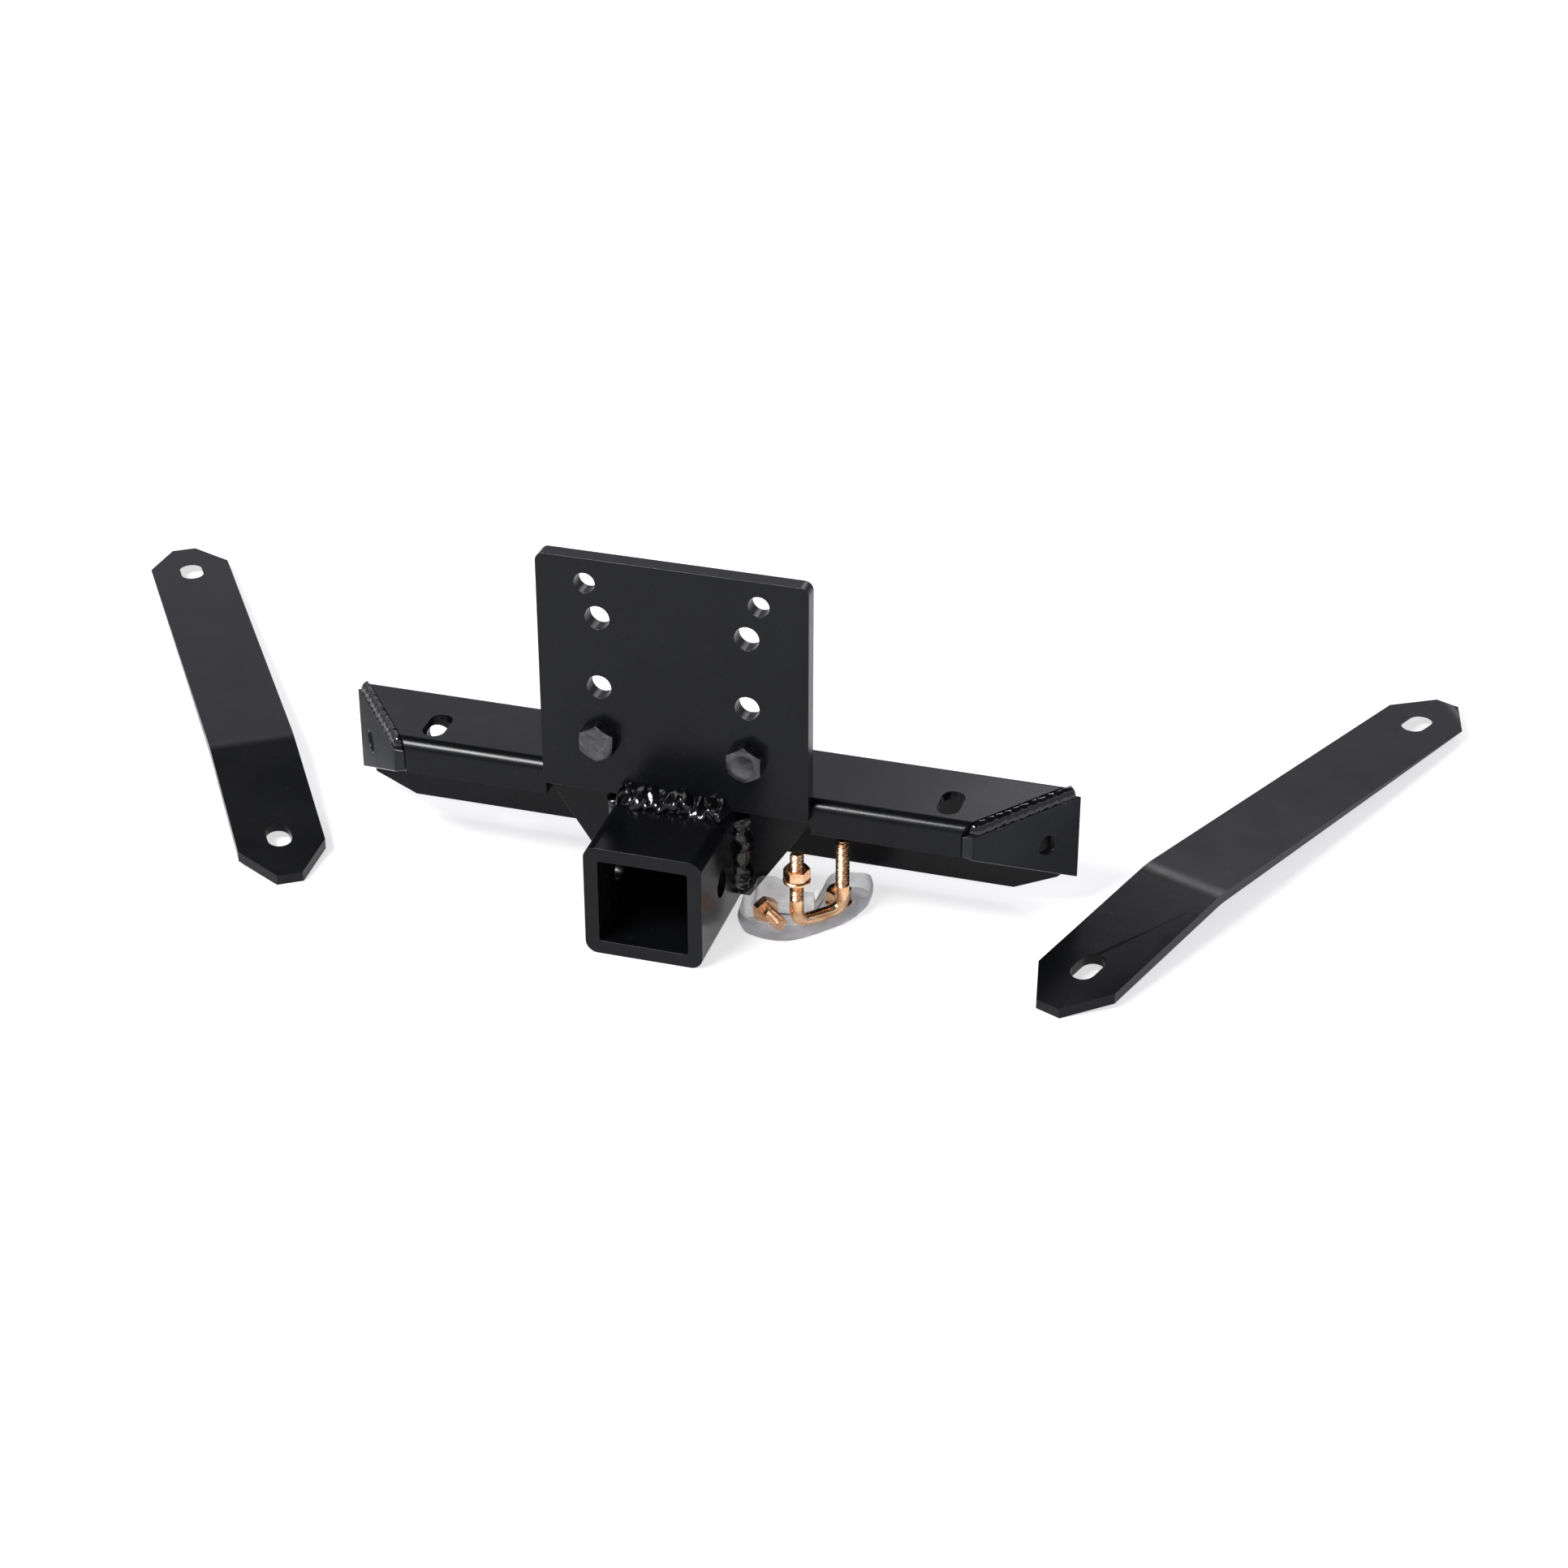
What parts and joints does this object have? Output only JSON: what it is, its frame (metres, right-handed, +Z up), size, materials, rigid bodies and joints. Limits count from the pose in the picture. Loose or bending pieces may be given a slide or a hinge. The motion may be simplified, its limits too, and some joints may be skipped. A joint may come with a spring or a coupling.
{
  "type": "bolt-on receiver hitch kit",
  "caption": "Black bolt-on receiver hitch: hole plate and square receiver on a mitred cross beam, laid out with its loose side straps and a clear bag of plated hardware.",
  "frame": {"origin": "middle of the receiver tube's underside, on the floor, below the hitch plate's front face", "axes": "+X along the cross beam, to the right seen from the receiver's mouth; +Y away from the mouth, towards the vehicle; +Z up"},
  "size_m": [0.8473, 0.4022, 0.21],
  "materials": {
    "black_paint": "semi-gloss black powder coat, faint orange peel, worn at edges",
    "painted_weld": "glossy black paint over a lumpy weld bead",
    "black_oxide": "dark grey bolt finish, worn corners",
    "yellow_zinc": "yellow zinc plating with amber patches",
    "clear_film": "clear crumpled polythene"
  },
  "bodies": {
    "hitch": {"receiver_tube": "black_paint", "receiver_top_weld": "painted_weld", "receiver_weld_right": "painted_weld", "receiver_weld_left": "painted_weld", "hitch_plate": "black_paint", "bracket_plate": "black_paint", "cross_beam": "black_paint", "flange_weld": "painted_weld", "end_plate_right": "black_paint", "end_plate_left": "black_paint", "end_weld_right": "painted_weld", "end_weld_left": "painted_weld", "plate_bolt_left": "black_oxide", "plate_washer_left": "black_oxide", "plate_bolt_right": "black_oxide", "plate_washer_right": "black_oxide"},
    "plate_nut_left": {"plate_nut_left": "black_oxide"},
    "plate_nut_right": {"plate_nut_right": "black_oxide"},
    "strap_left": {"strap_left": "black_paint"},
    "strap_right": {"strap_right": "black_paint"},
    "hardware_pack": {"hardware_bag": "clear_film", "u_bolt": "yellow_zinc", "u_bolt_washer": "yellow_zinc", "spare_bolt": "yellow_zinc", "spare_washer": "yellow_zinc", "spare_nut": "yellow_zinc"},
    "u_bolt_nut": {"u_bolt_nut": "yellow_zinc"}
  },
  "joints": [
    {"name": "plate_nut_left_spin", "type": "hinge", "parent": "hitch", "child": "plate_nut_left", "pos_m": [-0.0419, 0.028, 0.1016], "axis": [0, 1, 0], "continuous": true},
    {"name": "plate_nut_right_spin", "type": "hinge", "parent": "hitch", "child": "plate_nut_right", "pos_m": [0.0419, 0.028, 0.1016], "axis": [0, 1, 0], "continuous": true},
    {"name": "strap_left_lift", "type": "slide", "parent": "hitch", "child": "strap_left", "axis": [0, 0, 1], "range_m": [0, 0.25]},
    {"name": "strap_right_lift", "type": "slide", "parent": "hitch", "child": "strap_right", "axis": [0, 0, 1], "range_m": [0, 0.25]},
    {"name": "pack_slide", "type": "slide", "parent": "hitch", "child": "hardware_pack", "axis": [0, -1, 0], "range_m": [0, 0.2]},
    {"name": "u_bolt_nut_spin", "type": "hinge", "parent": "hardware_pack", "child": "u_bolt_nut", "pos_m": [0.07133, -0.00483, 0.037], "axis": [0, 0, 1], "continuous": true}
  ]
}
